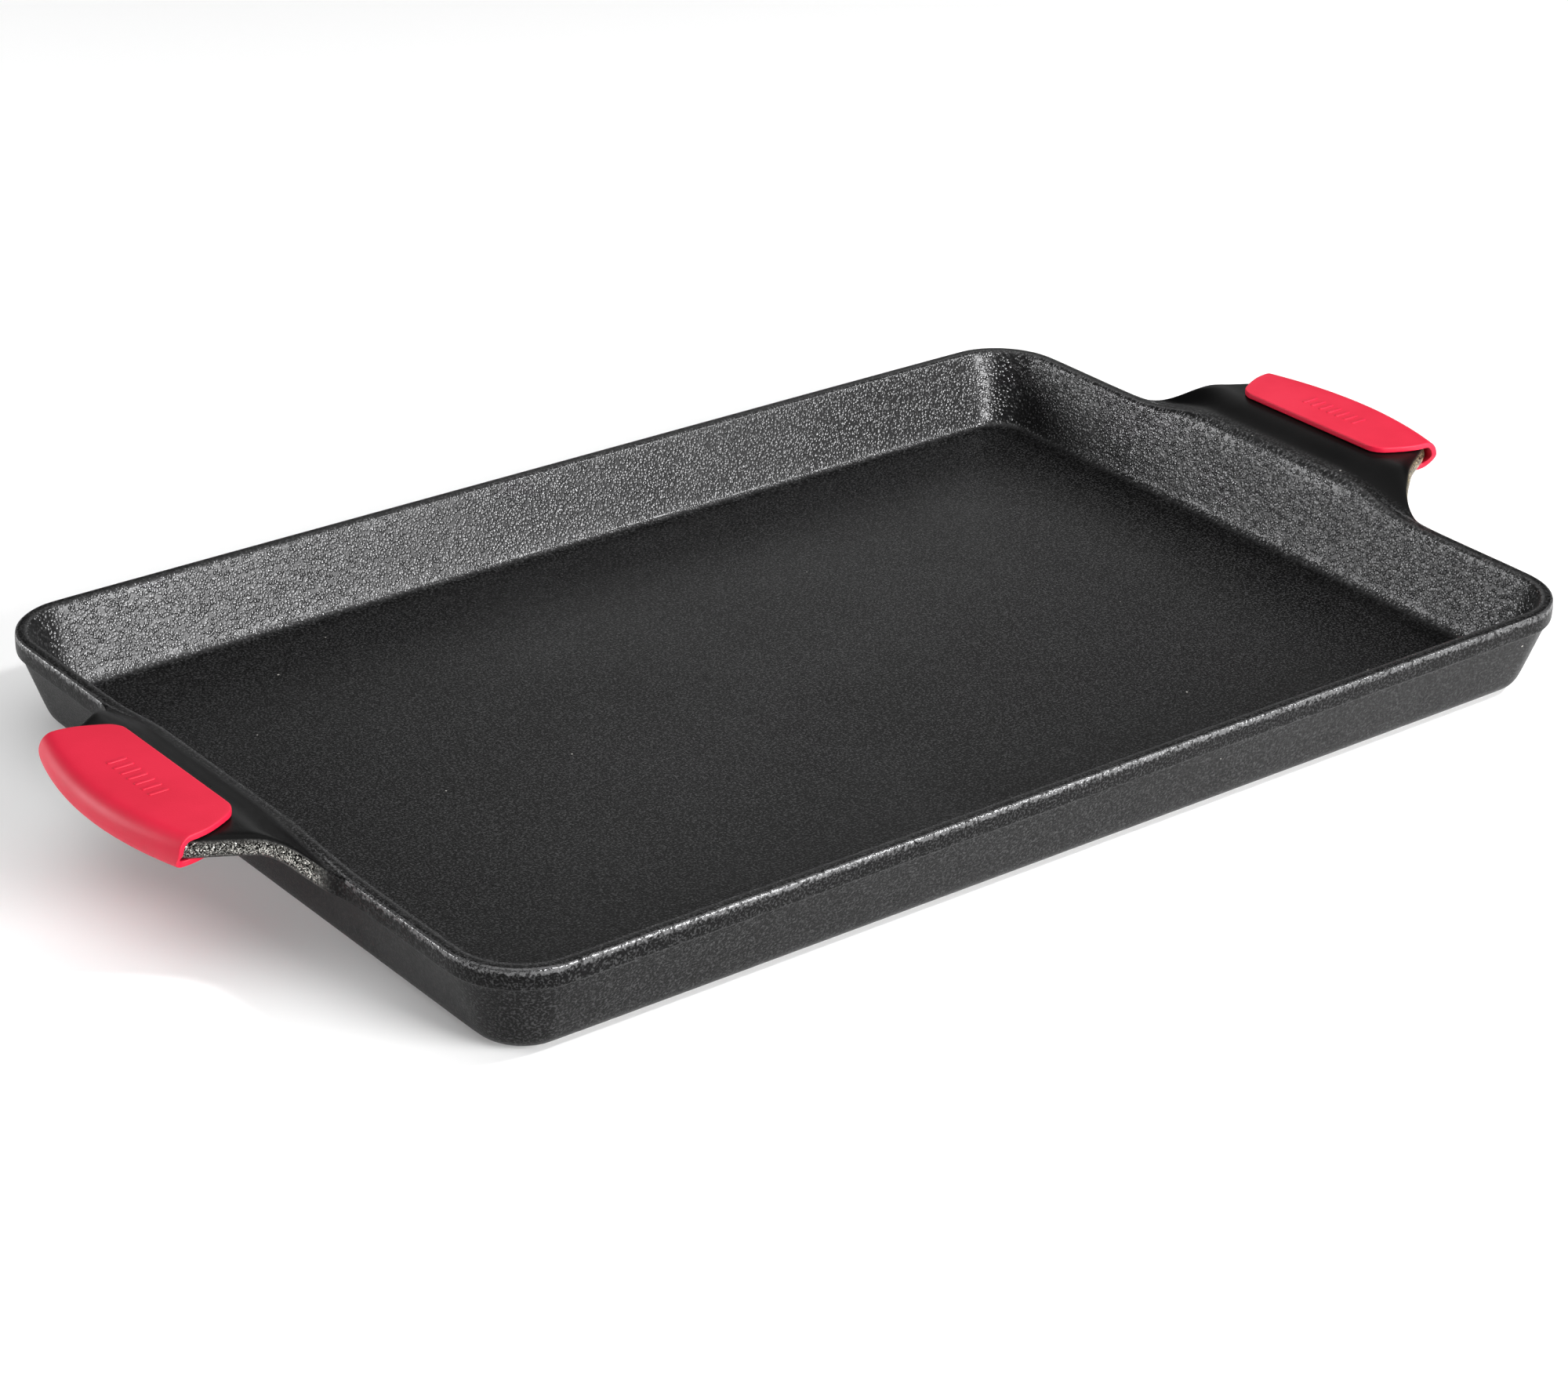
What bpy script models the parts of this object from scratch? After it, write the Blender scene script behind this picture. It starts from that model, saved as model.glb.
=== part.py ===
"""Rectangular cast-iron griddle pan with two slip-on silicone grips.

Units are metres. +X runs from handle to handle, +Y across the pan and +Z up.
The origin is the middle of the flat underside. "Reach" is the distance outwards
from the rim's end face, and "inset" the distance inwards from the rim's outline.
"""
import math

import bmesh
import bpy
from mathutils import Vector

# Tray
pan_length = 0.394           # over the rim, along X
pan_width = 0.2667           # over the rim, along Y
rim_height = 0.0295          # rim's top above the underside
corner_radius = 0.0235       # plan corner of the rim's outer edge
rim_width = 0.0042           # flat top of the rim
lip_height = 0.0065          # upright band below the rim's outer edge
lip_step = 0.0014            # how far the wall stands back under the lip
outer_draft = math.radians(19.5)
inner_draft = math.radians(16.5)
floor_thickness = 0.0048
floor_fillet = 0.004         # between floor and inner wall
foot_radius = 0.007          # between underside and outer wall
edge_round = 0.0009          # rim and handle edges
corner_segments = 8
fillet_segments = 4

# Handles
root_half_width = 0.064      # where the flare leaves the rim, from the middle
flare_length = 0.0042        # the flare dies away over this reach
side_taper = 0.45            # beyond it the handle narrows this much per unit of reach
tip_half_width = 0.0362
tip_corner = 0.004           # how far the rounded tip draws in at its corners
handle_reach = 0.0384        # outermost point of the iron
handle_rise = 0.0088         # handle's level top above the rim
handle_thickness = 0.0065
shoulder_rise = 0.0035       # inner edge of the rim at the handle's middle
shoulder_lean = 0.001        # that edge leans outwards by this much
saddle_rise = 0.005          # outer edge of the rim at the handle's middle
shoulder_ramp = 0.034        # length along Y over which the shoulder grows
level_reach = 0.0125         # the handle's top is level beyond this
tip_bow = 4.6                # outer edge falls back by this times y squared
root_stations = 20           # spans across the handle's root
flare_segments = 8
tip_segments = 4
tip_close = math.radians(80)  # the rounded tip ends in a narrow upright face

# Silicone grips
grip_wall = 0.0021
grip_clearance = 0.00045     # between silicone and iron
grip_start = 0.0125          # reach of the flaps' straight inner edges
under_start = 0.0165         # the lower flap starts further out
grip_half_inner = 0.0305     # half length at the flaps' inner edges
grip_over_tip = 0.0008       # the nose reaches past the handle's tip by this much at each end
flap_corner = 0.0035         # rounded corners of the flaps
grip_stations = 16
nose_segments = 8
flap_segments = 7

end_x = pan_length / 2
side_y = pan_width / 2
lip_bottom = rim_height - lip_height
handle_top = rim_height + handle_rise
tip_radius = handle_thickness / 2
handle_middle = handle_top - tip_radius
tip_start = handle_reach - tip_radius


def clear_scene():
    for item in list(bpy.data.objects):
        bpy.data.objects.remove(item, do_unlink=True)


def make_material(name, colour, roughness, metallic):
    material = bpy.data.materials.new(name)
    material.use_nodes = True
    shader = material.node_tree.nodes["Principled BSDF"]
    shader.inputs["Base Color"].default_value = (*colour, 1.0)
    shader.inputs["Roughness"].default_value = roughness
    shader.inputs["Metallic"].default_value = metallic
    return material


def smooth_step(value):
    value = min(max(value, 0.0), 1.0)
    return value * value * (3 - 2 * value)


def at_inset(point, inset, height):
    """Moves a point of any inner outline to the outline at this inset."""
    core_x = end_x - corner_radius
    core_y = side_y - corner_radius
    core = Vector((
        min(max(point.x, -core_x), core_x),
        min(max(point.y, -core_y), core_y),
    ))
    outwards = (point.xy - core).normalized()
    place = core + outwards * (corner_radius - inset)
    return Vector((place.x, place.y, height))


def extrude_faces(bm, faces):
    """Extrudes a region in place and returns its new faces."""
    grown = bmesh.ops.extrude_face_region(bm, geom=faces)["geom"]
    bmesh.ops.delete(bm, geom=faces, context="FACES_ONLY")
    return [item for item in grown if isinstance(item, bmesh.types.BMFace)]


def region_verts(faces):
    return {vert for face in faces for vert in face.verts}


def extrude_cap(bm, faces, rings):
    """Extrudes a level cap through rings, each an inset and a height."""
    for inset, height in rings:
        faces = extrude_faces(bm, faces)
        for vert in region_verts(faces):
            vert.co = at_inset(vert.co, inset, height)
    return faces


def fillet_rings(inset, height, radius, draft):
    """Rings of the arc between a drafted wall and a level face that meet at this inset and height."""
    spread = math.pi / 2 - draft
    centre_inset = inset + radius * math.tan(spread / 2)
    rings = []
    for step in range(fillet_segments + 1):
        angle = draft + spread * step / fillet_segments
        rings.append((
            centre_inset - radius * math.cos(angle),
            height + radius * (1 - math.sin(angle)),
        ))
    return rings


def shoulder_share(y):
    """How much of the handle's shoulder has grown at this distance from the middle."""
    return smooth_step((root_half_width - abs(y)) / shoulder_ramp)


def handle_half_width(reach):
    """Half width of the wing: a flare at its root, then a straight taper."""
    tapered = tip_half_width + side_taper * (tip_start - reach)
    flare = root_half_width - tip_half_width - side_taper * tip_start
    return tapered + flare * math.exp(-reach / flare_length)


def handle_steps():
    """Steps outwards, each a reach at the middle, a half width and a half thickness."""
    steps = []
    for step in range(1, flare_segments + 1):
        reach = tip_start * (step / flare_segments) ** 1.5
        steps.append((reach, handle_half_width(reach), tip_radius))
    for step in range(1, tip_segments + 1):
        angle = tip_close * step / tip_segments
        steps.append((
            tip_start + tip_radius * math.sin(angle),
            tip_half_width - tip_corner * (1 - math.cos(angle)),
            tip_radius * math.cos(angle),
        ))
    return steps


def handle_section(step, across):
    """Plan place, top and underside of one point; across runs from -1 to 1."""
    reach, half_width, half_thick = step
    y = across * half_width
    grown = smooth_step(reach / level_reach)
    outer_share = max(reach - level_reach, 0.0) / (handle_reach - level_reach)
    saddle = saddle_rise * shoulder_share(y)
    top = rim_height + saddle + (handle_rise - saddle) * grown
    under = lip_bottom + (handle_top - handle_thickness - lip_bottom) * grown
    if half_thick < tip_radius:
        top = handle_middle + half_thick
        under = handle_middle - half_thick
    return reach - outer_share * tip_bow * y * y, y, top, under


def extrude_handle(bm, side):
    """Grows one wing handle out of the lip's end face; side is -1 or 1."""
    faces = [
        face for face in bm.faces
        if face.normal.x * side > 0.99
        and abs(face.calc_center_median().y) < root_half_width
        and face.calc_center_median().z > lip_bottom
    ]
    before = (0.0, root_half_width, tip_radius)
    for step in handle_steps():
        faces = extrude_faces(bm, faces)
        for vert in region_verts(faces):
            across = vert.co.y / before[1]
            top, under = handle_section(before, across)[2:]
            is_top = vert.co.z > (top + under) / 2
            reach, y, top, under = handle_section(step, across)
            vert.co = Vector((side * (end_x + reach), y, top if is_top else under))
        before = step


def lift_shoulders(bm):
    """Raises the rim where the handles grow out of it."""
    for vert in bm.verts:
        inset = end_x - abs(vert.co.x)
        on_rim = vert.co.z > rim_height - edge_round and inset < rim_width * 1.01
        if not on_rim or abs(vert.co.y) > root_half_width:
            continue
        share = shoulder_share(vert.co.y)
        if inset > rim_width / 2:
            vert.co.x += math.copysign(shoulder_lean, vert.co.x) * share
            vert.co.z += shoulder_rise * share
        else:
            vert.co.z += saddle_rise * share


def cut_stations(bm):
    """Cuts across the slab where the handles need an edge."""
    for step in range(root_stations + 1):
        y = root_half_width * (2 * step / root_stations - 1)
        bmesh.ops.bisect_plane(
            bm,
            geom=list(bm.verts) + list(bm.edges) + list(bm.faces),
            dist=1e-6,
            plane_co=(0, y, 0),
            plane_no=(0, 1, 0),
        )


def wall_inset_at(height, top_inset, top_height, draft):
    return top_inset + (top_height - height) * math.tan(draft)


def build_pan():
    bm = bmesh.new()
    bmesh.ops.create_cube(bm, size=1.0)
    bmesh.ops.scale(bm, verts=bm.verts, vec=(pan_length, pan_width, lip_height))
    bmesh.ops.translate(bm, verts=bm.verts, vec=(0, 0, lip_bottom + lip_height / 2))
    upright = [
        edge for edge in bm.edges
        if abs(edge.verts[0].co.z - edge.verts[1].co.z) > lip_height / 2
    ]
    bmesh.ops.bevel(
        bm,
        geom=upright,
        offset=corner_radius,
        segments=corner_segments,
        profile=0.5,
        affect="EDGES",
    )
    cut_stations(bm)

    top_faces = [face for face in bm.faces if face.normal.z > 0.9]
    floor_inset = wall_inset_at(floor_thickness, rim_width, rim_height, inner_draft)
    inner_rings = [(rim_width, rim_height)]
    inner_rings += fillet_rings(floor_inset, floor_thickness, floor_fillet, inner_draft)
    extrude_cap(bm, top_faces, inner_rings)

    under_faces = [face for face in bm.faces if face.normal.z < -0.9]
    foot_inset = wall_inset_at(0.0, lip_step, lip_bottom, outer_draft)
    outer_rings = [(lip_step, lip_bottom - lip_step / 3)]
    outer_rings += fillet_rings(foot_inset, 0.0, foot_radius, outer_draft)
    extrude_cap(bm, under_faces, outer_rings)

    lift_shoulders(bm)
    for side in (-1, 1):
        extrude_handle(bm, side)
    bmesh.ops.recalc_face_normals(bm, faces=bm.faces)
    mesh = bpy.data.meshes.new("pan_casting")
    bm.to_mesh(mesh)
    bm.free()
    return mesh


def grip_half_length(reach):
    """Half length of a flap: slanted ends that spread towards the nose."""
    share = min(max((reach - grip_start) / (tip_start - grip_start), 0.0), 1.0)
    spread = tip_half_width + grip_over_tip - grip_half_inner
    return grip_half_inner + spread * math.sin(share * math.pi / 2)


def grip_columns():
    """Reach and height of the bent sheet, from the upper flap round the nose to the lower flap."""
    inner_radius = tip_radius + grip_clearance
    nose_centre = handle_reach + grip_clearance - inner_radius
    columns = []
    for step in range(flap_segments):
        share = step / flap_segments
        columns.append((grip_start + (nose_centre - grip_start) * share, inner_radius))
    for step in range(nose_segments + 1):
        angle = math.pi * (0.5 - step / nose_segments)
        columns.append((
            nose_centre + inner_radius * math.cos(angle),
            inner_radius * math.sin(angle),
        ))
    for step in range(1, flap_segments + 1):
        share = step / flap_segments
        columns.append((nose_centre + (under_start - nose_centre) * share, -inner_radius))
    return columns


def build_grip():
    """Open sheet bent round the handle's edge, facing away from it; Solidify gives it its wall."""
    columns = grip_columns()
    last = len(columns) - 1
    bm = bmesh.new()
    bmesh.ops.create_grid(bm, x_segments=last, y_segments=grip_stations, size=1.0)
    for vert in bm.verts:
        column = round((vert.co.x + 1) / 2 * last)
        reach, height = columns[column]
        edge_reach = columns[0 if column < last / 2 else last][0]
        short_of_round = max(flap_corner - (reach - edge_reach), 0.0)
        corner_cut = flap_corner - math.sqrt(flap_corner ** 2 - short_of_round ** 2)
        y = vert.co.y * (grip_half_length(reach) - corner_cut)
        outer_share = max(reach - level_reach, 0.0) / (handle_reach - level_reach)
        bow = outer_share * tip_bow * y * y
        vert.co = Vector((reach - bow - handle_reach, y, height))
    mesh = bpy.data.meshes.new("grip")
    bm.to_mesh(mesh)
    bm.free()
    return mesh


def add_object(name, mesh, material, collection):
    item = bpy.data.objects.new(name, mesh)
    item.data.materials.append(material)
    collection.objects.link(item)
    return item


def add_bevel(item, width):
    bevel = item.modifiers.new("rounded_edges", "BEVEL")
    bevel.width = width
    bevel.segments = 2
    bevel.limit_method = "ANGLE"
    bevel.angle_limit = math.radians(50)
    bevel.use_clamp_overlap = False


def main():
    clear_scene()
    collection = bpy.data.collections.new("griddle_pan")
    bpy.context.scene.collection.children.link(collection)

    pan = add_object(
        "pan_casting",
        build_pan(),
        make_material("seasoned_iron", (0.022, 0.022, 0.024), 0.5, 0.4),
        collection,
    )
    add_bevel(pan, edge_round)

    for name, turn in (("right_grip", 0.0), ("left_grip", math.pi)):
        grip = add_object(
            name,
            build_grip(),
            make_material(name + "_silicone", (0.70, 0.035, 0.055), 0.55, 0.0),
            collection,
        )
        side = math.cos(turn)
        grip.location = (side * (end_x + handle_reach), 0.0, handle_middle)
        grip.rotation_euler = (0.0, 0.0, turn)
        shell = grip.modifiers.new("silicone_wall", "SOLIDIFY")
        shell.thickness = grip_wall
        shell.offset = 1.0
        shell.use_even_offset = True
        add_bevel(grip, edge_round)
    bpy.context.view_layer.update()


main()
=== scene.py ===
import math

import bmesh
import bpy
import numpy as np
from mathutils import Matrix, Vector


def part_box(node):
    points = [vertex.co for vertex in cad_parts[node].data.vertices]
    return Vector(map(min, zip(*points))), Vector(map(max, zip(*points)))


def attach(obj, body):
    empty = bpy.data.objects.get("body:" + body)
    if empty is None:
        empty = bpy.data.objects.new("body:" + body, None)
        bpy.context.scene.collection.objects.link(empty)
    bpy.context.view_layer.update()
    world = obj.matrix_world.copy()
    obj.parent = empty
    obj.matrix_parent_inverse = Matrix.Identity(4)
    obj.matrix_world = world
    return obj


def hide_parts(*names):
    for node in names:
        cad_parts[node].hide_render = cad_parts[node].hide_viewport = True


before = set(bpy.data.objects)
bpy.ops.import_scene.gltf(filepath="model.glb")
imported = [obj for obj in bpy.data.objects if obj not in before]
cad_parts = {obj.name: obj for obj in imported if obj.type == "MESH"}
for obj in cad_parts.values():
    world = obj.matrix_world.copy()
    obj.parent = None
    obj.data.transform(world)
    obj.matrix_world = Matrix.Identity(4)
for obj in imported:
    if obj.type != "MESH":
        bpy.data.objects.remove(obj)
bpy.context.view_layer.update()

panLow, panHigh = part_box("pan_casting")
print("frame loaded, pan", panLow, panHigh)

# sizes of the casting in metres; its outer limits come from the frame
pan = dict(
    rimDrop=0.0088,          # the handle's top stands this much above the rim
    handleReach=0.03835,     # iron beyond the rim's end
    cornerRadius=0.0235,
    rimWidth=0.0042,
    lipHeight=0.0065,
    lipStep=0.0014,
    floorThickness=0.0048,
    innerDraft=math.radians(16.5),
    outerDraft=math.radians(19.5),
    floorFillet=0.004,
    footRadius=0.007,
    rimRound=0.0009,
    sideRound=0.0030,        # round of the handle's sides and tip
    rootHalf=0.064,
    tipHalf=0.0362,
    flareLength=0.0042,
    sideTaper=0.45,
    handleThickness=0.0065,
    saddleRise=0.0050,
    shoulderRamp=0.034,
    levelReach=0.0125,
    tipBow=4.6,
    stations=20,
    cornerSegments=8,
    filletSteps=4,
    smoothLevels=2,
    rimEase=0.28,            # the rim's inner corner, as a share of its round
    innerLoops=(0.0032, 0.0085, 0.0145),  # inner wall, below the rim
    floorLoops=(0.0025, 0.008),           # on the floor, in from its fillet
    stepDrop=0.35,           # the wall starts this share of the step below the lip
    stepRound=(0.86, 0.12),  # loop in the step: inset and drop as shares of it
    outerLoops=(0.0002, 0.0012, 0.0060, 0.0110),  # outer wall, below its start
    footLoops=(0.0025, 0.010),            # on the underside, in from its fillet
    rimCuts=(0.080, 0.096),  # extra cuts beside the wings
    wingLoops=(0.0009, 0.0024, 0.0048, 0.0080, 0.0120, 0.0165, 0.0220, 0.0280, 0.0335),
    roundReach=0.011,        # the wing's edges are fully round beyond this
    tipLoop=0.0368,          # last loop before the tip
    tipDraw=(0.0016, 0.0042),  # how far the last two loops draw in
    shoulderLoops=((0.0011, 0.0046), (0.0021, 0.0041), (0.0030, 0.0031), (0.0040, 0.0008)),
    shoulderDepth=0.006,     # the shoulders lie within this inset
    rootSwell=0.0004,
    rootSettle=0.99,
)
rimZ = panHigh[2] - pan["rimDrop"]
lipZ = rimZ - pan["lipHeight"]
endX = panHigh[0] - pan["handleReach"]
sideY = panHigh[1]
tipHalfThick = pan["handleThickness"] / 2
tipStart = pan["handleReach"] - tipHalfThick
blockStep = 0.005            # spacing of the wing's loops while it is blocked out
easeShare = 0.293            # middle point of a quarter round, as a share of its radius
near = 1e-4                  # two places closer than this are one
exact = 1e-5
faceOn = 0.9                 # a face that looks along an axis


def deselectAll():
    bpy.ops.object.select_all(action="DESELECT")


def pickFaces(piece, test):
    # selects the faces that pass, in edit mode
    bpy.ops.mesh.select_mode(type="FACE")
    bpy.ops.mesh.select_all(action="DESELECT")
    cage = bmesh.from_edit_mesh(piece.data)
    for face in cage.faces:
        if test(face):
            face.select_set(True)
    bmesh.update_edit_mesh(piece.data)


def pickEdges(piece, test):
    bpy.ops.mesh.select_mode(type="EDGE")
    bpy.ops.mesh.select_all(action="DESELECT")
    cage = bmesh.from_edit_mesh(piece.data)
    for edge in cage.edges:
        if test(edge):
            edge.select_set(True)
    bmesh.update_edit_mesh(piece.data)


def upright(edge, height):
    return abs(edge.verts[0].co.z - edge.verts[1].co.z) > height


def bisectAll(co, no):
    bpy.ops.mesh.select_all(action="SELECT")
    bpy.ops.mesh.bisect(plane_co=co, plane_no=no, threshold=1e-6)


def smoothStep(value):
    value = min(max(value, 0.0), 1.0)
    return value * value * (3 - 2 * value)


def ramp(value, start, end):
    # grows smoothly from 0 at start to 1 at end
    return smoothStep((value - start) / (end - start))


def applyModifier(piece, name):
    bpy.context.view_layer.objects.active = piece
    bpy.ops.object.modifier_apply(modifier=name)


def addSubsurf(piece, levels):
    soft = piece.modifiers.new("soft", "SUBSURF")
    soft.levels = levels
    soft.render_levels = levels
    applyModifier(piece, "soft")


def finishPiece(piece, material, body, node):
    piece.data.materials.clear()
    piece.data.materials.append(material)
    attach(piece, body)
    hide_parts(node)


def outlineInset(x, y):
    # how far a point lies inside the rim's outer edge, and the way out from it
    radius = pan["cornerRadius"]
    coreX = min(max(x, radius - endX), endX - radius)
    coreY = min(max(y, radius - sideY), sideY - radius)
    away = Vector((x - coreX, y - coreY))
    length = away.length
    if length < 1e-9:
        return radius, Vector((0, 0))
    return radius - length, away / length


def filletRings(inset, height, radius, draft):
    count = pan["filletSteps"]
    spread = math.pi / 2 - draft
    centre = inset + radius * math.tan(spread / 2)
    rings = []
    for step in range(count + 1):
        angle = draft + spread * step / count
        rings.append((centre - radius * math.cos(angle), height + radius * (1 - math.sin(angle))))
    return rings


def innerRings():
    # inset and height of each loop from the rim down to the floor
    edge = pan["rimRound"]
    slope = math.tan(pan["innerDraft"])
    width = pan["rimWidth"]

    def wall(z):
        return width + (rimZ - z) * slope

    rings = [
        (width - edge, rimZ),
        (width - edge * pan["rimEase"], rimZ - edge * pan["rimEase"]),
        (wall(rimZ - edge), rimZ - edge),
    ]
    rings += [(wall(rimZ - depth), rimZ - depth) for depth in pan["innerLoops"]]
    floor = pan["floorThickness"]
    rings += filletRings(wall(floor), floor, pan["floorFillet"], pan["innerDraft"])
    last = rings[-1][0]
    rings += [(last + further, floor) for further in pan["floorLoops"]]
    return rings


def outerRings():
    # from the lip's lower edge down to the underside
    step = pan["lipStep"]
    top = lipZ - step * pan["stepDrop"]
    slope = math.tan(pan["outerDraft"])

    def wall(z):
        return step + (top - z) * slope

    across, down = pan["stepRound"]
    rings = [(step * across, lipZ - step * down)]
    rings += [(wall(top - depth), top - depth) for depth in pan["outerLoops"]]
    rings += filletRings(wall(0.0), 0.0, pan["footRadius"], pan["outerDraft"])
    last = rings[-1][0]
    rings += [(last + further, 0.0) for further in pan["footLoops"]]
    return rings


def insetChain(start, rings, sign):
    # sign is 1 where the selected cap faces up and -1 where it faces down
    before = start
    for ring in rings:
        bpy.ops.mesh.inset(
            thickness=ring[0] - before[0],
            depth=(ring[1] - before[1]) * sign,
            use_even_offset=True,
            use_boundary=True,
        )
        before = ring


def shoulderShare(y):
    return smoothStep((pan["rootHalf"] - abs(y)) / pan["shoulderRamp"])


def wingHalf(reach):
    tapered = pan["tipHalf"] + pan["sideTaper"] * (tipStart - reach)
    flare = pan["rootHalf"] - pan["tipHalf"] - pan["sideTaper"] * tipStart
    return tapered + flare * math.exp(-reach / pan["flareLength"])


def wingSteps():
    # reach, half width and edge round of each loop outwards
    steps = [(0.0, pan["rootHalf"], pan["rimRound"])]
    for reach in pan["wingLoops"]:
        grown = smoothStep(reach / pan["roundReach"])
        roundness = pan["rimRound"] + (pan["sideRound"] - pan["rimRound"]) * grown
        steps.append((reach, wingHalf(reach), roundness))
    for reach, draw in zip((pan["tipLoop"], pan["handleReach"]), pan["tipDraw"]):
        steps.append((reach, pan["tipHalf"] - draw, pan["sideRound"]))
    return steps


def wingTop(reach, y):
    grown = smoothStep(reach / pan["levelReach"])
    saddle = pan["saddleRise"] * shoulderShare(y)
    return rimZ + saddle + (pan["rimDrop"] - saddle) * grown


def wingUnder(reach):
    grown = smoothStep(reach / pan["levelReach"])
    level = panHigh[2] - pan["handleThickness"]
    return lipZ + (level - lipZ) * grown


def bowBack(reach, y):
    # the outer edges of wing and grip fall back towards their ends
    outer = max(reach - pan["levelReach"], 0.0) / (pan["handleReach"] - pan["levelReach"])
    return outer * pan["tipBow"] * y * y


def shapeWings(piece):
    steps = wingSteps()
    last = len(steps) - 1
    corner = [(1.0, 0.0), (easeShare, easeShare), (0.0, 1.0)]
    bevels = corner + corner[::-1]  # how far each row of the band draws in and drops
    rowZ = bandRows()
    for vert in piece.data.vertices:
        co = vert.co
        side = math.copysign(1.0, co.x)
        index = round((abs(co.x) - endX) / blockStep)
        if abs(co.x) < endX - exact or (index == 0 and abs(co.y) > pan["rootHalf"] + exact):
            continue
        row = min(range(len(rowZ)), key=lambda k: abs(rowZ[k] - co.z))
        if abs(rowZ[row] - co.z) > near:
            continue
        reach, half, edge = steps[index]
        across = co.y / pan["rootHalf"]
        pull, drop = bevels[row]
        isSide = abs(across) > 0.999
        draw = edge * pull if isSide else edge
        y = across * (half - (draw if index else 0.0))
        bow = bowBack(reach, y)
        top = wingTop(reach, across * half)
        under = wingUnder(reach)
        z = top - edge * drop if row < 3 else under + edge * drop
        if index == last:
            reach -= edge * pull
        if index == 0 and row in (0, 5):
            reach = pan["rootSwell"] * shoulderShare(y) - (edge if isSide else 0.0)
            if row == 0:
                z = rimZ + pan["saddleRise"] * shoulderShare(y) * pan["rootSettle"]
        vert.co = (side * (endX + reach - bow), y, z)


def bandRows():
    edge = pan["rimRound"]
    ease = edge * easeShare
    return [rimZ, rimZ - ease, rimZ - edge, lipZ + edge, lipZ + ease, lipZ]


def roundBand(piece):
    # eases the lip's upper and lower edges all round, outside the wings' roots
    edge = pan["rimRound"]
    pulls = {0: edge, 1: edge * easeShare, 4: edge * easeShare, 5: edge}  # by row of the band
    rowZ = bandRows()
    for vert in piece.data.vertices:
        inset, away = outlineInset(vert.co.x, vert.co.y)
        if abs(inset) > exact:
            continue
        inRoot = abs(vert.co.x) > endX - exact and abs(vert.co.y) < pan["rootHalf"] + exact
        for row, pull in pulls.items():
            if abs(rowZ[row] - vert.co.z) < exact and not inRoot:
                vert.co.x -= away.x * pull
                vert.co.y -= away.y * pull


def raiseShoulders(piece):
    # the rim's inner loops swell into the wings, to these insets and heights above the rim
    rings = innerRings()
    for vert in piece.data.vertices:
        if abs(vert.co.y) > pan["rootHalf"] or abs(vert.co.x) < endX - pan["shoulderDepth"]:
            continue
        inset = endX - abs(vert.co.x)
        for ring, target in zip(rings, pan["shoulderLoops"]):
            if abs(ring[0] - inset) < near and abs(ring[1] - vert.co.z) < near:
                share = shoulderShare(vert.co.y)
                vert.co.x += math.copysign(ring[0] - target[0], vert.co.x) * share
                vert.co.z += (rimZ + target[1] - ring[1]) * share


def inWingRoot(face, side):
    middle = face.calc_center_median()
    squareOn = face.normal.x * side > 0.99
    return squareOn and abs(middle.y) < pan["rootHalf"] and middle.z > lipZ


def modelPan():
    deselectAll()
    middle = (rimZ + lipZ) / 2
    bpy.ops.mesh.primitive_cube_add(size=1, location=(0, 0, middle))
    piece = bpy.context.object
    piece.name = "panBody"
    piece.scale = (2 * endX, 2 * sideY, pan["lipHeight"])
    bpy.ops.object.transform_apply(location=True, rotation=True, scale=True)
    bpy.ops.object.mode_set(mode="EDIT")
    pickEdges(piece, lambda edge: upright(edge, pan["lipHeight"] / 2))
    bpy.ops.mesh.bevel(
        offset=pan["cornerRadius"], segments=pan["cornerSegments"], profile=0.5, affect="EDGES"
    )
    for z in bandRows()[1:-1]:
        bisectAll((0, 0, z), (0, 0, 1))
    for step in range(pan["stations"] + 1):
        bisectAll((0, pan["rootHalf"] * (2 * step / pan["stations"] - 1), 0), (0, 1, 0))
    for y in pan["rimCuts"]:
        bisectAll((0, y, 0), (0, 1, 0))
        bisectAll((0, -y, 0), (0, 1, 0))
    print("band blocked out")

    pickFaces(piece, lambda face: face.normal.z > faceOn)
    insetChain((0.0, rimZ), innerRings(), 1)
    pickFaces(piece, lambda face: face.normal.z < -faceOn)
    insetChain((0.0, lipZ), outerRings(), -1)
    print("tray sunk and walls drawn down")

    for side in (-1, 1):
        pickFaces(piece, lambda face: inWingRoot(face, side))
        for step in range(len(wingSteps()) - 1):
            bpy.ops.mesh.extrude_region_move(
                TRANSFORM_OT_translate={"value": (side * blockStep, 0, 0)}
            )
    bpy.ops.object.mode_set(mode="OBJECT")
    raiseShoulders(piece)
    roundBand(piece)
    shapeWings(piece)
    addSubsurf(piece, pan["smoothLevels"])
    bpy.ops.object.shade_smooth()
    print("pan", len(piece.data.polygons), "faces")
    return piece


# where each skin fades in: start and end of each ramp, in metres or as a share of the normal
fade = dict(
    rimInset=0.0011,         # the pebbles start this far outside the rim's inner edge
    shoulderInset=0.0010,    # and at this inset on the shoulders
    border=(-0.0008, 0.0008),
    climb=(0.0001, 0.0015),  # above the floor
    facingUp=(-0.02, 0.18),
    wingDepth=0.001,         # handles reach this far below the lip
    sideways=(0.80, 0.35),
    flankReach=(0.001, 0.005),
    topFacing=(0.5, 0.8),
    topReach=(0.0, 0.003),
    edgeInset=0.0011,
    edgeHeight=(-0.0036, -0.0006),  # above the rim's top
)


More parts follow.
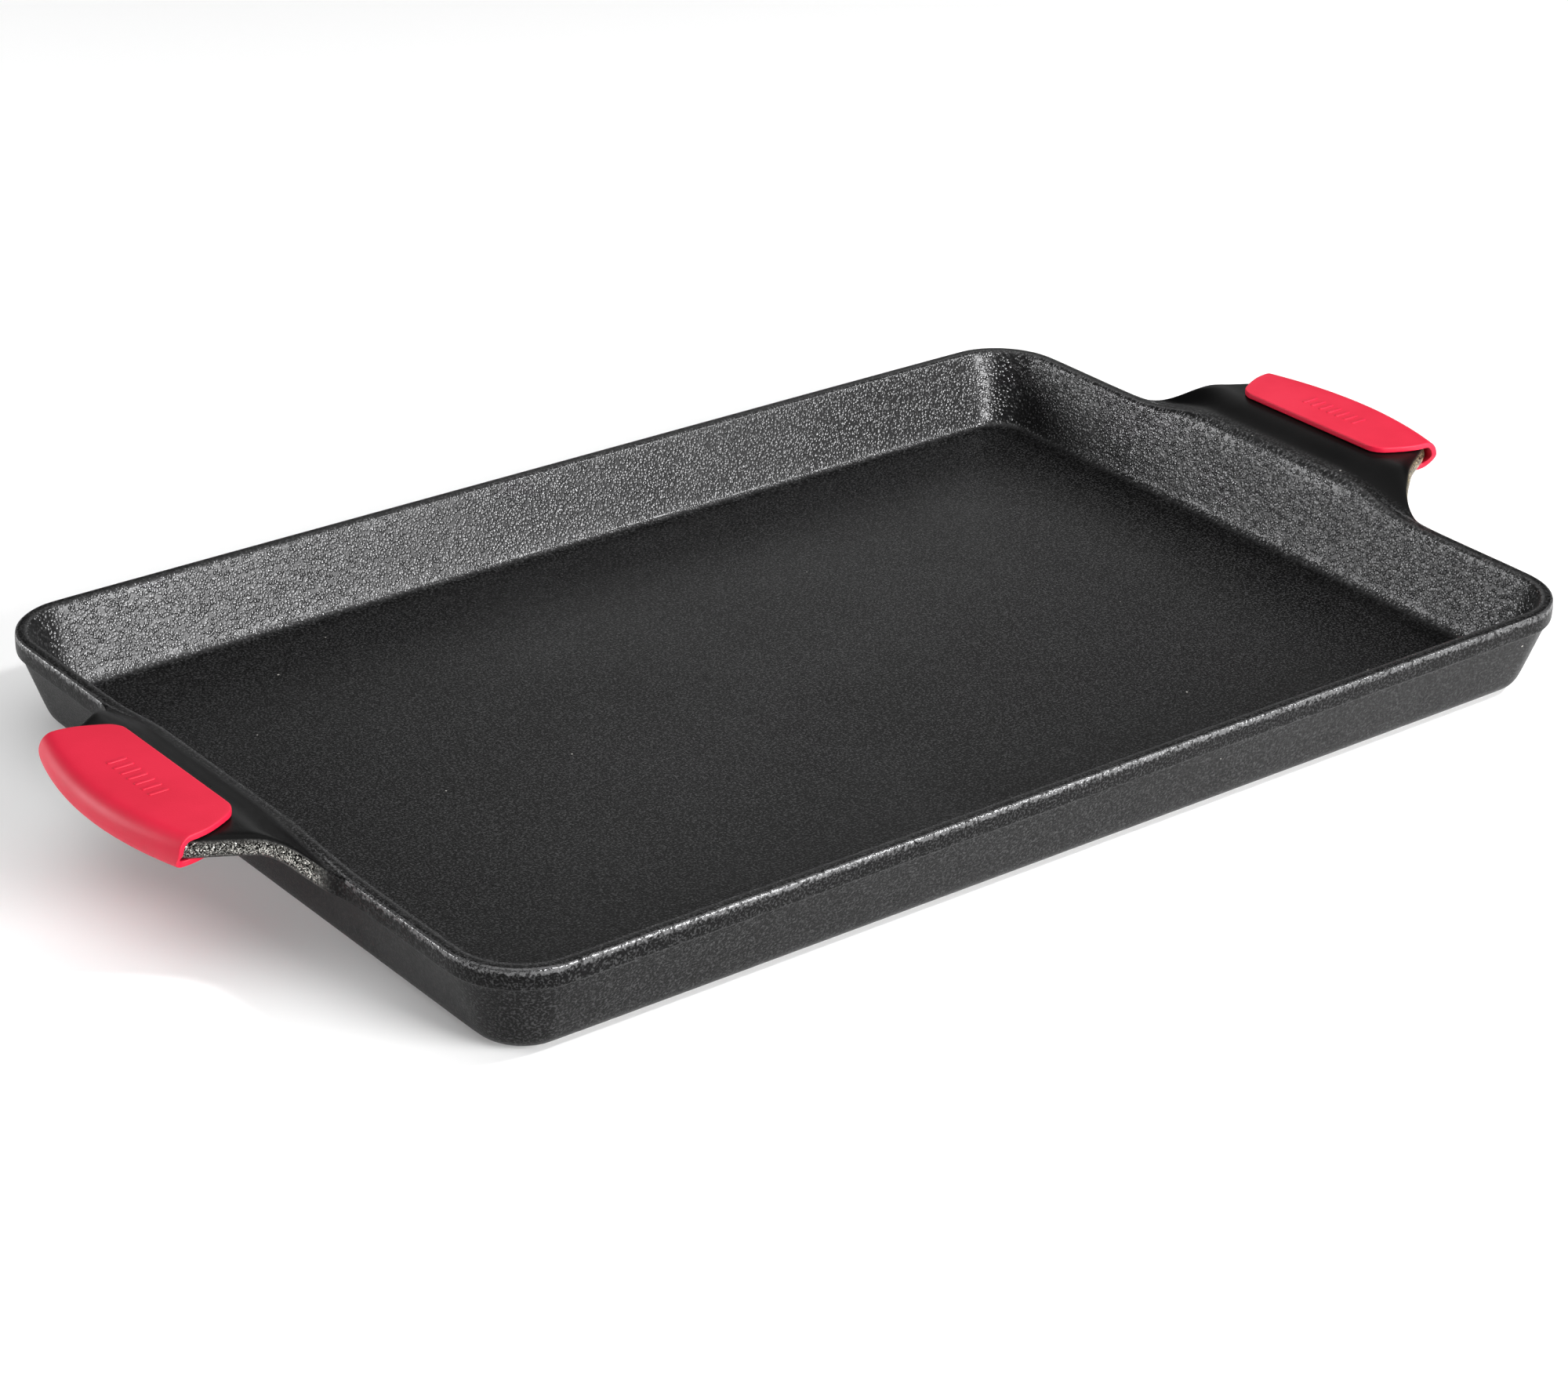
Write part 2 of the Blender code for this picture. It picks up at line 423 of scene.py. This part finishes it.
def maskPan(piece):
    # pebble: rough sand-cast skin, satin: rubbed handle tops, flank: handle sides, edge: rim corners
    mesh = piece.data
    names = ("pebble", "satin", "flank", "edge")
    masks = {name: np.zeros(len(mesh.vertices), dtype=np.float32) for name in names}
    for index, vert in enumerate(mesh.vertices):
        co, normal = vert.co, vert.normal
        reach = abs(co.x) - endX
        share = shoulderShare(co.y)
        inset = outlineInset(co.x, co.y)[0]
        besideWing = abs(co.y) < pan["rootHalf"]
        if besideWing and reach > -pan["cornerRadius"]:
            inset = -reach
        border = (pan["rimWidth"] - fade["rimInset"]) * (1 - share) + fade["shoulderInset"] * share
        climb = ramp(co.z - pan["floorThickness"], *fade["climb"])
        facingUp = ramp(normal.z, *fade["facingUp"])
        masks["pebble"][index] = ramp(inset - border, *fade["border"]) * climb * facingUp
        if reach > 0 and besideWing and co.z > lipZ - fade["wingDepth"]:
            side = ramp(abs(normal.z), *fade["sideways"]) * ramp(reach, *fade["flankReach"])
            masks["flank"][index] = side
            masks["pebble"][index] = max(side, masks["pebble"][index])
            masks["satin"][index] = ramp(normal.z, *fade["topFacing"]) * ramp(reach, *fade["topReach"])
        elif inset < fade["edgeInset"]:
            masks["edge"][index] = ramp(co.z - rimZ, *fade["edgeHeight"]) * (1 - share)
    for name in names:
        layer = mesh.attributes.new(name, "FLOAT", "POINT")
        layer.data.foreach_set("value", masks[name])


grip = dict(
    gap=0.0002,              # silicone to iron
    wall=0.0019,
    flapStart=0.0125,
    underStart=0.0165,
    halfInner=0.0305,
    overTip=0.0008,
    lowerSlant=0.0032,       # the lower flap ends this much short of the upper one
    flapCorner=0.0038,
    edgeRound=0.0007,
    edgeSegments=3,
    edgeAngle=math.radians(50),
    smoothAngle=math.radians(40),
    rows=30,
    flapColumns=11,
    noseColumns=12,
    columnEase=1.5,          # crowds the columns towards the flaps' edges
    ribs=7,
    ribSpacing=0.0037,
    ribLength=0.0062,
    ribWidth=0.0012,
    ribProud=0.00022,
    ribReach=0.0245,
    ribBlock=0.0008,         # a rib's height, most of it sunk in the sleeve
    ribRound=0.48,           # its end rounds, as a share of its width
    ribEdge=0.0002,
    ribSegments=(4, 3),
)
gripMiddle = panHigh[2] - tipHalfThick


def gripColumns():
    radius = tipHalfThick + grip["gap"]
    nose = pan["handleReach"] + grip["gap"] - radius
    columns = []
    for step in range(grip["flapColumns"]):
        share = (step / grip["flapColumns"]) ** grip["columnEase"]
        columns.append((grip["flapStart"] + (nose - grip["flapStart"]) * share, radius))
    for step in range(grip["noseColumns"] + 1):
        angle = math.pi * (0.5 - step / grip["noseColumns"])
        columns.append((nose + radius * math.cos(angle), radius * math.sin(angle)))
    for step in range(1, grip["flapColumns"] + 1):
        share = 1 - (1 - step / grip["flapColumns"]) ** grip["columnEase"]
        columns.append((nose + (grip["underStart"] - nose) * share, -radius))
    return columns


def gripHalf(reach):
    share = min(max((reach - grip["flapStart"]) / (tipStart - grip["flapStart"]), 0.0), 1.0)
    spread = pan["tipHalf"] + grip["overTip"] - grip["halfInner"]
    return grip["halfInner"] + spread * math.sin(share * math.pi / 2)


def modelRib(index, side):
    top = gripMiddle + tipHalfThick + grip["gap"] + grip["wall"] + grip["ribProud"]
    y = (index - (grip["ribs"] - 1) / 2) * grip["ribSpacing"]
    endSegments, topSegments = grip["ribSegments"]
    deselectAll()
    bpy.ops.mesh.primitive_cube_add(size=1)
    rib = bpy.context.object
    rib.scale = (grip["ribLength"], grip["ribWidth"], grip["ribBlock"])
    rib.location = (side * (endX + grip["ribReach"]), y, top - grip["ribBlock"] / 2)
    bpy.ops.object.transform_apply(location=True, rotation=True, scale=True)
    bpy.ops.object.mode_set(mode="EDIT")
    pickEdges(rib, lambda edge: upright(edge, grip["ribBlock"] / 2))
    bpy.ops.mesh.bevel(
        offset=grip["ribWidth"] * grip["ribRound"], segments=endSegments, affect="EDGES"
    )
    pickFaces(rib, lambda face: face.normal.z > faceOn)
    bpy.ops.mesh.bevel(offset=grip["ribEdge"], segments=topSegments, affect="EDGES")
    bpy.ops.object.mode_set(mode="OBJECT")
    return rib


def modelGrip(name, side):
    deselectAll()
    columns = gripColumns()
    last = len(columns) - 1
    bpy.ops.mesh.primitive_grid_add(x_subdivisions=last, y_subdivisions=grip["rows"], size=2)
    piece = bpy.context.object
    piece.name = name
    for vert in piece.data.vertices:
        column = round((vert.co.x + 1) / 2 * last)
        reach, height = columns[column]
        edgeReach = columns[0 if column < last / 2 else last][0]
        corner = grip["flapCorner"]
        short = max(corner - (reach - edgeReach), 0.0)
        cut = corner - math.sqrt(max(corner * corner - short * short, 0.0))
        slant = grip["lowerSlant"] * max(-height, 0.0) / (tipHalfThick + grip["gap"])
        y = vert.co.y * (gripHalf(reach) - cut - slant)
        vert.co = ((endX + reach - bowBack(reach, y)) * side, y * side, gripMiddle + height)
    wall = piece.modifiers.new("wall", "SOLIDIFY")
    wall.thickness = grip["wall"]
    wall.offset = 1.0
    applyModifier(piece, "wall")
    edge = piece.modifiers.new("edge", "BEVEL")
    edge.width = grip["edgeRound"]
    edge.segments = grip["edgeSegments"]
    edge.limit_method = "ANGLE"
    edge.angle_limit = grip["edgeAngle"]
    applyModifier(piece, "edge")
    addSubsurf(piece, 1)

    parts = [piece]
    for index in range(grip["ribs"]):
        parts.append(modelRib(index, side))
    deselectAll()
    for part in parts:
        part.select_set(True)
    bpy.context.view_layer.objects.active = piece
    bpy.ops.object.join()
    deselectAll()
    piece.select_set(True)
    bpy.context.view_layer.objects.active = piece
    bpy.ops.object.shade_smooth_by_angle(angle=grip["smoothAngle"])
    print(name, len(piece.data.polygons), "faces")
    return piece


def newMaterial(name):
    material = bpy.data.materials.new(name)
    material.use_nodes = True
    return material, material.node_tree.nodes["Principled BSDF"]


def newGroup(name, ins, outs):
    # ins and outs are (name, socket type) pairs
    tree = bpy.data.node_groups.new(name, "ShaderNodeTree")
    for label, kind in ins:
        tree.interface.new_socket(name=label, in_out="INPUT", socket_type=kind)
    for label, kind in outs:
        tree.interface.new_socket(name=label, in_out="OUTPUT", socket_type=kind)
    entry = tree.nodes.new("NodeGroupInput")
    leave = tree.nodes.new("NodeGroupOutput")
    return tree, entry, leave


def noise(tree, vector, scale, detail=2.0, rough=0.5):
    node = tree.nodes.new("ShaderNodeTexNoise")
    node.inputs["Scale"].default_value = scale
    node.inputs["Detail"].default_value = detail
    node.inputs["Roughness"].default_value = rough
    tree.links.new(vector, node.inputs["Vector"])
    return node.outputs["Fac"]


def cells(tree, vector, scale):
    # distance from each cell's middle, and a random number for each cell
    node = tree.nodes.new("ShaderNodeTexVoronoi")
    node.inputs["Scale"].default_value = scale
    tree.links.new(vector, node.inputs["Vector"])
    lot = tree.nodes.new("ShaderNodeSeparateColor")
    tree.links.new(node.outputs["Color"], lot.inputs["Color"])
    return node.outputs["Distance"], lot.outputs[0]


def maths(tree, operation, first, second=None, clamp=False):
    node = tree.nodes.new("ShaderNodeMath")
    node.operation = operation
    node.use_clamp = clamp
    for slot, value in ((0, first), (1, second)):
        if value is None:
            continue
        if isinstance(value, (int, float)):
            node.inputs[slot].default_value = value
        else:
            tree.links.new(value, node.inputs[slot])
    return node.outputs[0]


def remap(tree, value, low, high, newLow=0.0, newHigh=1.0):
    node = tree.nodes.new("ShaderNodeMapRange")
    node.inputs["From Min"].default_value = low
    node.inputs["From Max"].default_value = high
    node.inputs["To Min"].default_value = newLow
    node.inputs["To Max"].default_value = newHigh
    tree.links.new(value, node.inputs["Value"])
    return node.outputs["Result"]


def blend(tree, factor, first, second):
    # mixes two numbers or sockets
    node = tree.nodes.new("ShaderNodeMix")
    node.data_type = "FLOAT"
    for slot, value in ((0, factor), (2, first), (3, second)):
        if isinstance(value, (int, float)):
            node.inputs[slot].default_value = value
        else:
            tree.links.new(value, node.inputs[slot])
    return node.outputs[0]


def blendColor(tree, factor, first, second):
    node = tree.nodes.new("ShaderNodeMix")
    node.data_type = "RGBA"
    for slot, value in ((0, factor), (6, first), (7, second)):
        if isinstance(value, (int, float, tuple)):
            node.inputs[slot].default_value = value
        else:
            tree.links.new(value, node.inputs[slot])
    return node.outputs[2]


iron = dict(
    pebbleScale=1100,        # grains per metre
    blobScale=495,           # groups the grains
    grainScale=2600,
    stippleScale=1500,
    chipScale=900,           # chips along the rim's edge, which also break up its painted highlight, and scratch streaks of the flanks' painted glints
    patchScale=22,
    driftScale=7.04,
    speckScale=75,
    speckSize=0.026,         # share of a cell
    speckCut=0.7,            # cells drawn above this hold a speck
    pebbleDepth=1.0,
    grainDepth=0.35,
    satinDepth=0.10,
    edgeDepth=0.6,
    bumpDistance=0.00028,
    metal=0.8,               # how metallic the oiled pebbles and worn edges are
    # painted highlight: how much the rim's edges are lightened in colour
    edgePaintedHighlight=0.8,
    dark=(0.0022, 0.0022, 0.0023, 1),
    worn=(0.0042, 0.0041, 0.0041, 1),
    wornGlintTop=(0.155, 0.155, 0.157, 1),  # tops of the pebbled skin: partly worn metal, partly painted glint
    floorGrain=0.24,
    # tints of the flanks' painted glints, silver to gold
    silver=(0.70, 0.69, 0.64, 1),
    gold=(0.74, 0.60, 0.34, 1),
    dust=(0.32, 0.31, 0.29, 1),
    matteRough=0.34,
    pebbleRough=0.29,
    satinRough=0.33,
    specular=0.08,
    # each range below maps its first two numbers to its last two, or to 0 and 1
    chipRange=(0.3, 0.7, -0.85, 0.10),
    wearRange=(0.25, 0.6),
    edgeRange=(0.0, 0.1),
    domeRange=(0.22, 0.66, 1.0, 0.0),
    lotRange=(0.0, 0.8, 0.15, 1.0),
    blobRange=(0.36, 0.6, 0.45, 1.0),
    wornRange=(0.35, 0.7),
    glintTintRange=(0.4, 0.6),
    grainRange=(-0.28, 0.80),
    streakRange=(0.35, 0.65, -0.09, 0.07),
    scratchGlintRange=(0.50, 0.64),
    saltRange=(0.48, 0.7),
    patchRough=(0.3, 0.7, -0.05, 0.05),
    driftRough=(0.3, 0.7, -0.03, 0.03),
)


def castSkinGroup():
    tree, entry, leave = newGroup(
        "castSkin",
        [("Vector", "NodeSocketVector"), ("Pebble", "NodeSocketFloat"),
         ("Satin", "NodeSocketFloat"), ("Flank", "NodeSocketFloat"), ("Edge", "NodeSocketFloat")],
        [("Color", "NodeSocketColor"), ("Roughness", "NodeSocketFloat"),
         ("Metallic", "NodeSocketFloat"), ("Height", "NodeSocketFloat")],
    )
    where = entry.outputs["Vector"]
    pebble = entry.outputs["Pebble"]
    satin = entry.outputs["Satin"]
    flank = entry.outputs["Flank"]
    rimEdge = entry.outputs["Edge"]
    chips = noise(tree, where, iron["chipScale"], 3.0, 0.6)
    edge = maths(tree, "ADD", rimEdge, remap(tree, chips, *iron["chipRange"]))
    edge = remap(tree, edge, *iron["wearRange"])
    edge = maths(tree, "MULTIPLY", edge, remap(tree, rimEdge, *iron["edgeRange"]))
    rugged = maths(tree, "MAXIMUM", pebble, edge)

    cellCenter, cellLot = cells(tree, where, iron["pebbleScale"])
    blobs = noise(tree, where, iron["blobScale"], 1.0, 0.5)
    grains = maths(tree, "MULTIPLY", remap(tree, cellCenter, *iron["domeRange"]),
                   remap(tree, cellLot, *iron["lotRange"]))
    grains = maths(tree, "MULTIPLY", grains, remap(tree, blobs, *iron["blobRange"]))
    fine = noise(tree, where, iron["grainScale"], 2.0, 0.5)
    patches = noise(tree, where, iron["patchScale"], 4.0, 0.6)
    drift = noise(tree, where, iron["driftScale"], 2.0, 0.5)
    calm = maths(tree, "SUBTRACT", 1.0, satin, clamp=True)

    # dust: three cells in ten hold one bright speck
    speckCenter, speckLot = cells(tree, where, iron["speckScale"])
    speck = maths(tree, "MULTIPLY", maths(tree, "LESS_THAN", speckCenter, iron["speckSize"]),
                  maths(tree, "GREATER_THAN", speckLot, iron["speckCut"]))

    grainDepth = blend(tree, satin, iron["grainDepth"], iron["satinDepth"])
    fineHeight = maths(tree, "MULTIPLY", fine, grainDepth)
    coarseHeight = maths(tree, "MULTIPLY", grains, iron["pebbleDepth"])
    edgeHeight = maths(tree, "MULTIPLY", edge, iron["edgeDepth"])
    coarseShare = maths(tree, "MAXIMUM", pebble, edgeHeight)
    height = blend(tree, coarseShare, fineHeight, coarseHeight)

    # how much paler colour shows through the dark seasoning: worn metal and painted glints on the grain
    # tops and flank streaks, fine pale grain, and a painted highlight along the rim's edges
    color = blendColor(tree, remap(tree, patches, *iron["wornRange"]), iron["dark"], iron["worn"])
    # painted glint tint for the flanks, silver to gold
    flankGlintTint = blendColor(tree, remap(tree, drift, *iron["glintTintRange"]), iron["silver"], iron["gold"])
    top = blendColor(tree, flank, iron["wornGlintTop"], flankGlintTint)
    # painted glints on the grain tops and streaks of painted glint on the flanks, partly worn metal
    streaks = maths(tree, "ADD", fine, remap(tree, chips, *iron["streakRange"]))
    scratchAndGlint = blend(tree, flank, remap(tree, grains, *iron["grainRange"]),
                      remap(tree, streaks, *iron["scratchGlintRange"]))
    polishAndGlint = maths(tree, "MULTIPLY", scratchAndGlint, pebble, clamp=True)
    stipple = noise(tree, where, iron["stippleScale"], 1.5, 0.5)
    salt = maths(tree, "MULTIPLY", remap(tree, stipple, *iron["saltRange"]), iron["floorGrain"])
    polishAndGlint = maths(tree, "MAXIMUM", polishAndGlint, maths(tree, "MULTIPLY", salt, calm))
    # painted highlight along the rim's edges
    polishAndGlint = maths(tree, "MAXIMUM", polishAndGlint, maths(tree, "MULTIPLY", edge, iron["edgePaintedHighlight"]))
    color = blendColor(tree, polishAndGlint, color, top)
    color = blendColor(tree, maths(tree, "MULTIPLY", speck, calm), color, iron["dust"])

    rough = blend(tree, satin, iron["matteRough"], iron["satinRough"])
    rough = blend(tree, rugged, rough, iron["pebbleRough"])
    rough = maths(tree, "ADD", rough, remap(tree, patches, *iron["patchRough"]))
    rough = maths(tree, "ADD", rough, remap(tree, drift, *iron["driftRough"]))
    tree.links.new(color, leave.inputs["Color"])
    tree.links.new(rough, leave.inputs["Roughness"])
    tree.links.new(maths(tree, "MULTIPLY", rugged, iron["metal"]), leave.inputs["Metallic"])
    tree.links.new(height, leave.inputs["Height"])
    return tree


def useGroup(tree, group, shader, bumpDistance, wires):
    # drops the group in and wires it to the shader through one bump node
    node = tree.nodes.new("ShaderNodeGroup")
    node.node_tree = group
    place = tree.nodes.new("ShaderNodeTexCoord")
    tree.links.new(place.outputs["Object"], node.inputs["Vector"])
    for label, attribute in wires:
        layer = tree.nodes.new("ShaderNodeAttribute")
        layer.attribute_name = attribute
        tree.links.new(layer.outputs["Fac"], node.inputs[label])
    bump = tree.nodes.new("ShaderNodeBump")
    bump.inputs["Distance"].default_value = bumpDistance
    tree.links.new(node.outputs["Height"], bump.inputs["Height"])
    tree.links.new(node.outputs["Color"], shader.inputs["Base Color"])
    tree.links.new(node.outputs["Roughness"], shader.inputs["Roughness"])
    tree.links.new(bump.outputs["Normal"], shader.inputs["Normal"])
    if "Metallic" in node.outputs:
        tree.links.new(node.outputs["Metallic"], shader.inputs["Metallic"])


def ironMaterial():
    material, shader = newMaterial("seasonedIron")
    shader.inputs["Specular IOR Level"].default_value = iron["specular"]
    useGroup(material.node_tree, castSkinGroup(), shader, iron["bumpDistance"],
             (("Pebble", "pebble"), ("Satin", "satin"), ("Flank", "flank"), ("Edge", "edge")))
    return material


silicone = dict(
    red=(0.62, 0.0105, 0.041, 1),
    deep=(0.57, 0.0085, 0.035, 1),
    rough=0.50,
    specular=0.30,
    grainScale=2400,
    cloudScale=45,
    bumpDistance=0.00003,
    deepRange=(0.35, 0.65),
    cloudRough=(0.3, 0.7, -0.04, 0.04),
)


def siliconeSkinGroup():
    tree, entry, leave = newGroup(
        "siliconeSkin",
        [("Vector", "NodeSocketVector")],
        [("Color", "NodeSocketColor"), ("Roughness", "NodeSocketFloat"), ("Height", "NodeSocketFloat")],
    )
    where = entry.outputs["Vector"]
    grain = noise(tree, where, silicone["grainScale"], 2.0, 0.5)
    cloud = noise(tree, where, silicone["cloudScale"], 3.0, 0.55)
    deepShare = remap(tree, cloud, *silicone["deepRange"])
    color = blendColor(tree, deepShare, silicone["red"], silicone["deep"])
    rough = maths(tree, "ADD", remap(tree, cloud, *silicone["cloudRough"]), silicone["rough"])
    tree.links.new(color, leave.inputs["Color"])
    tree.links.new(rough, leave.inputs["Roughness"])
    tree.links.new(grain, leave.inputs["Height"])
    return tree


def siliconeMaterial():
    material, shader = newMaterial("redSilicone")
    shader.inputs["Specular IOR Level"].default_value = silicone["specular"]
    useGroup(material.node_tree, siliconeSkinGroup(), shader, silicone["bumpDistance"], ())
    return material


studio = dict(
    floorSize=14,
    floorDrop=0.0004,        # the paper lies this far below the underside
    paper=(0.86, 0.86, 0.86, 1),
    paperRough=0.9,
    paperGlow=0.12,
    air=0.03,
)


def makeStage():
    deselectAll()
    bpy.ops.mesh.primitive_plane_add(size=studio["floorSize"], location=(0, 0, -studio["floorDrop"]))
    floor = bpy.context.object
    floor.name = "studioFloor"
    material, shader = newMaterial("studioPaper")
    shader.inputs["Base Color"].default_value = studio["paper"]
    shader.inputs["Roughness"].default_value = studio["paperRough"]
    shader.inputs["Emission Color"].default_value = (1, 1, 1, 1)
    shader.inputs["Emission Strength"].default_value = studio["paperGlow"]
    floor.data.materials.append(material)


# a long lens from the front left corner, slightly rolled; angles in degrees
view = dict(
    azimuth=-38.215,
    elevation=26.082,
    roll=1.047,
    distance=1.22193,
    target=(-0.00227, 0.0022, 0.0),
    lens=93.67,
    sensor=36.0,
)


def makeCamera():
    az = math.radians(view["azimuth"])
    el = math.radians(view["elevation"])
    roll = math.radians(view["roll"])
    back = Vector((math.sin(az) * math.cos(el), -math.cos(az) * math.cos(el), math.sin(el)))
    right = Vector((math.cos(az), math.sin(az), 0))
    up = back.cross(right)
    turnedRight = right * math.cos(roll) + up * math.sin(roll)
    turnedUp = up * math.cos(roll) - right * math.sin(roll)
    data = bpy.data.cameras.new("studioCamera")
    data.lens = view["lens"]
    data.sensor_width = view["sensor"]
    camera = bpy.data.objects.new("studioCamera", data)
    bpy.context.scene.collection.objects.link(camera)
    place = Vector(view["target"]) + back * view["distance"]
    camera.matrix_world = Matrix((
        (turnedRight.x, turnedUp.x, back.x, place.x),
        (turnedRight.y, turnedUp.y, back.y, place.y),
        (turnedRight.z, turnedUp.z, back.z, place.z),
        (0, 0, 0, 1),
    ))
    bpy.context.scene.camera = camera


def softbox(name, position, aim, size, power):
    data = bpy.data.lights.new(name, "AREA")
    data.shape = "RECTANGLE"
    data.size, data.size_y = size
    data.energy = power
    lamp = bpy.data.objects.new(name, data)
    lamp.location = position
    lamp.rotation_euler = (Vector(aim) - Vector(position)).to_track_quat("-Z", "Y").to_euler()
    bpy.context.scene.collection.objects.link(lamp)


# each light's place, aim, size and power in watts
lights = dict(
    overheadBox=((-0.2, 0.0, 2.4), (-0.1, 0.0, 0.0), (3.2, 3.2), 38),
    frontRightBox=((0.24, -1.14, 0.40), (-0.08, 0.10, 0.02), (0.75, 0.55), 27),
    backLeftBox=((-1.05, 1.0, 0.35), (0.1, 0.0, 0.02), (0.7, 0.4), 13),
    backRightPanel=((1.5, 1.9, 1.2), (0.0, 0.0, 0.0), (1.0, 0.9), 4.2),
    leftFill=((-1.6, -0.5, 0.7), (-0.1, 0.0, 0.0), (1.0, 0.8), 0.4),
    rimBox=((0.95, -0.72, 1.16), (0.0, 0.0, 0.02), (0.16, 0.16), 15),
)


def makeLights():
    world = bpy.data.worlds.new("studioAir")
    world.use_nodes = True
    sky = world.node_tree.nodes["Background"]
    sky.inputs["Color"].default_value = (1, 1, 1, 1)
    sky.inputs["Strength"].default_value = studio["air"]
    bpy.context.scene.world = world
    for name, (position, aim, size, power) in lights.items():
        softbox(name, position, aim, size, power)


bodyPiece = modelPan()
maskPan(bodyPiece)
finishPiece(bodyPiece, ironMaterial(), "pan", "pan_casting")
print("pan skinned")
red = siliconeMaterial()
for gripName, node, side in (("leftGripSleeve", "left_grip", -1), ("rightGripSleeve", "right_grip", 1)):
    sleeve = modelGrip(gripName, side)
    finishPiece(sleeve, red, node, node)
print("grips in place")
makeStage()
makeCamera()
makeLights()
bpy.context.scene.view_settings.view_transform = "Standard"
print("studio lit")
